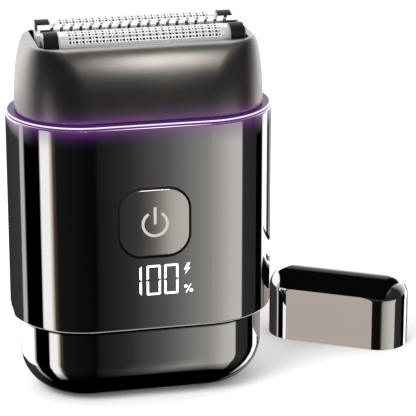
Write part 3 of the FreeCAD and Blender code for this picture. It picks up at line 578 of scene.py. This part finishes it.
CANOPY_RADIUS = 15 * MM
CANOPY_CENTRE_Z = 10 * MM
CANOPY_STEPS = 10
CANOPY_SIDES = (-27 * MM, 20 * MM)
CANOPY_SPAN = (52, 160)             # degrees round the canopy, from the cap's back over its top
GLINT_SPAN = (20, 52)
GLINT_Z = (20.2 * MM, 21.6 * MM)    # where the glint fades from white to dark
CANOPY_COLOUR = (0.003, 0.003, 0.003)
FRONT_CARD_AWAY = 14.5 * MM         # from the cap's middle
FRONT_CARD_SHIFT = 3.2 * MM
FRONT_CARD_FOOT = -30 * MM
FRONT_CARD_TOP = 15.5 * MM
FRONT_CARD_HALF = 12.8 * MM
FRONT_CARD_CORNER = 5.0 * MM


def arched_card(name, middle, along, out, span, material):
    """Card bent round the cap from its back over its top, between two angles in degrees."""
    points = []
    for step in range(CANOPY_STEPS + 1):
        angle = math.radians(span[0] + (span[1] - span[0]) * step / CANOPY_STEPS)
        up = Vector((0, 0, CANOPY_RADIUS * math.sin(angle)))
        reach = up - out * CANOPY_RADIUS * math.cos(angle)
        points += [middle + reach + along * side for side in CANOPY_SIDES]
    faces = [(2 * k, 2 * k + 1, 2 * k + 3, 2 * k + 2) for k in range(CANOPY_STEPS)]
    return mesh_object(name, points, faces, material)


def cap_cards():
    """A warm grey card that the cap's broad front reflects, and a dark canopy over its top."""
    low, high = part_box("cap_shell")
    centre = (low + high) / 2
    turn = math.radians(CAP_TURN)
    along = Vector((math.cos(turn), math.sin(turn), 0.0))
    out = Vector((along.y, -along.x, 0.0))
    half, top, corner = FRONT_CARD_HALF, FRONT_CARD_TOP, FRONT_CARD_CORNER
    outline = [(-half, FRONT_CARD_FOOT)]
    for side, first in ((-1, 180), (1, 90)):
        for step in range(7):
            angle = math.radians(first - 15 * step)
            across = side * (half - corner) + corner * math.cos(angle)
            outline.append((across, top - corner + corner * math.sin(angle)))
    outline.append((half, FRONT_CARD_FOOT))
    middle = Vector((centre.x, centre.y, 0.0)) + out * FRONT_CARD_AWAY
    points = [middle + along * (u - FRONT_CARD_SHIFT) + Vector((0, 0, z)) for u, z in outline]
    warm = one_sided("Card_Warm", (0.62, 0.55, 0.50))
    card = mesh_object("Cap_Card", points, [tuple(range(len(points)))], warm)
    middle = Vector((centre.x, centre.y, CANOPY_CENTRE_Z))
    dark = one_sided("Canopy_Dark", CANOPY_COLOUR)
    fading = one_sided("Canopy_Glint", CANOPY_COLOUR, GLINT_Z)
    canopy = arched_card("Cap_Canopy", middle, along, out, CANOPY_SPAN, dark)
    glint = arched_card("Cap_Glint", middle, along, out, GLINT_SPAN, fading)
    for thing in (card, canopy, glint):
        only_reflected(thing)


HEAD_CARD_HALF = (24 * MM, 17 * MM)
HEAD_CARD_LEVEL = 4.7
HEAD_CARD_FADE = (1 * MM, 19 * MM)  # from its middle, over which its light fades out


def head_card():
    """Soft card above the front of the head that gives its shoulder one broad highlight."""
    s = Shader("Card_Soft")
    low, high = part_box("head_shell")
    middle = Vector((12 * MM, low.y - 34 * MM, high.z + 25 * MM))
    aim = (Vector((8 * MM, -14.5 * MM, high.z - 3 * MM)) - middle).normalized()
    side = aim.cross(Vector((0, 0, 1))).normalized()
    rise = side.cross(aim)
    wide, tall = HEAD_CARD_HALF
    signs = ((-1, -1), (1, -1), (1, 1), (-1, 1))
    points = [middle + side * a * wide + rise * b * tall for a, b in signs]
    away = s.add("ShaderNodeVectorMath", operation="DISTANCE")
    s.link(s.coords, away.inputs[0])
    away.inputs[1].default_value = middle
    emit = s.add("ShaderNodeEmission")
    emit.inputs["Color"].default_value = (1.0, 0.975, 0.95, 1.0)
    level = s.spread(away.outputs["Value"], HEAD_CARD_LEVEL, 0.0, *HEAD_CARD_FADE)
    s.link(level, emit.inputs["Strength"])
    s.link(emit.outputs[0], s.tree.nodes["Material Output"].inputs["Surface"])
    card = mesh_object("Head_Card", points, [(0, 1, 2, 3)], s.material)
    only_reflected(card)


BASE_CARD_TOP = 15 * MM             # lower than the sleeve, so only the base reflects it


def base_card():
    """White card close behind the left end of the base."""
    low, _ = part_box("base_shell")
    line = [(low.x - 10 * MM, -2.5 * MM), (low.x - 8 * MM, 14 * MM), (low.x - 1 * MM, 22 * MM)]
    points = [(x, y, z) for x, y in line for z in (0.0, BASE_CARD_TOP)]
    faces = [(2, 3, 1, 0), (4, 5, 3, 2)]
    card = mesh_object("Base_Card", points, faces, one_sided("Card_White", (1.6, 1.6, 1.6)))
    only_reflected(card)


def area_light(name, place, target, size, power):
    """Round soft light that lights the floor and plain surfaces but isn't seen in reflections."""
    data = bpy.data.lights.new(name, "AREA")
    data.shape = "DISK"
    data.size = size
    data.energy = power
    light = bpy.data.objects.new(name, data)
    light.location = place
    aim = Vector(target) - Vector(place)
    light.rotation_euler = aim.to_track_quat("-Z", "Y").to_euler()
    light.visible_camera = False
    light.visible_glossy = False
    SCENE.collection.objects.link(light)


def lights():
    """Key from the upper left, fill from the right, and a white world."""
    area_light("Key_Light", (-0.55, -0.45, 0.75), (0, 0, 0.03), 0.5, 7.0)
    area_light("Fill_Light", (0.6, -0.6, 0.6), (0, 0, 0.03), 0.8, 2.0)
    world = bpy.data.worlds.new("Studio_White")
    world.use_nodes = True
    background = world.node_tree.nodes["Background"]
    background.inputs["Color"].default_value = (1.0, 1.0, 1.0, 1.0)
    background.inputs["Strength"].default_value = 1.0
    SCENE.world = world


CAMERA_AZIMUTH = math.radians(-12.81)
CAMERA_ELEVATION = math.radians(18.46)
CAMERA_DISTANCE = 0.541
CAMERA_SHIFT = 0.01654              # sideways from the middle of the shaver
CAMERA_HEIGHT = 0.04404
CAMERA_LENS = 192.9


def camera():
    """Front, a little to the left and above."""
    sine, cosine = math.sin(CAMERA_AZIMUTH), math.cos(CAMERA_AZIMUTH)
    level = math.cos(CAMERA_ELEVATION)
    target = Vector((CAMERA_SHIFT * cosine, CAMERA_SHIFT * sine, CAMERA_HEIGHT))
    back = Vector((sine * level, -cosine * level, math.sin(CAMERA_ELEVATION)))
    right = Vector((cosine, sine, 0.0))
    up = back.cross(right)
    data = bpy.data.cameras.new("Camera")
    data.sensor_width = 36.0
    data.lens = CAMERA_LENS
    data.clip_start = 0.01
    data.clip_end = 20.0
    view = bpy.data.objects.new("Camera", data)
    turn = Matrix((right, up, back)).transposed().to_4x4()
    view.matrix_world = Matrix.Translation(target + back * CAMERA_DISTANCE) @ turn
    SCENE.collection.objects.link(view)
    SCENE.camera = view
    SCENE.view_settings.view_transform = "Standard"


floor()
dome()
cap_cards()
head_card()
base_card()
lights()
camera()
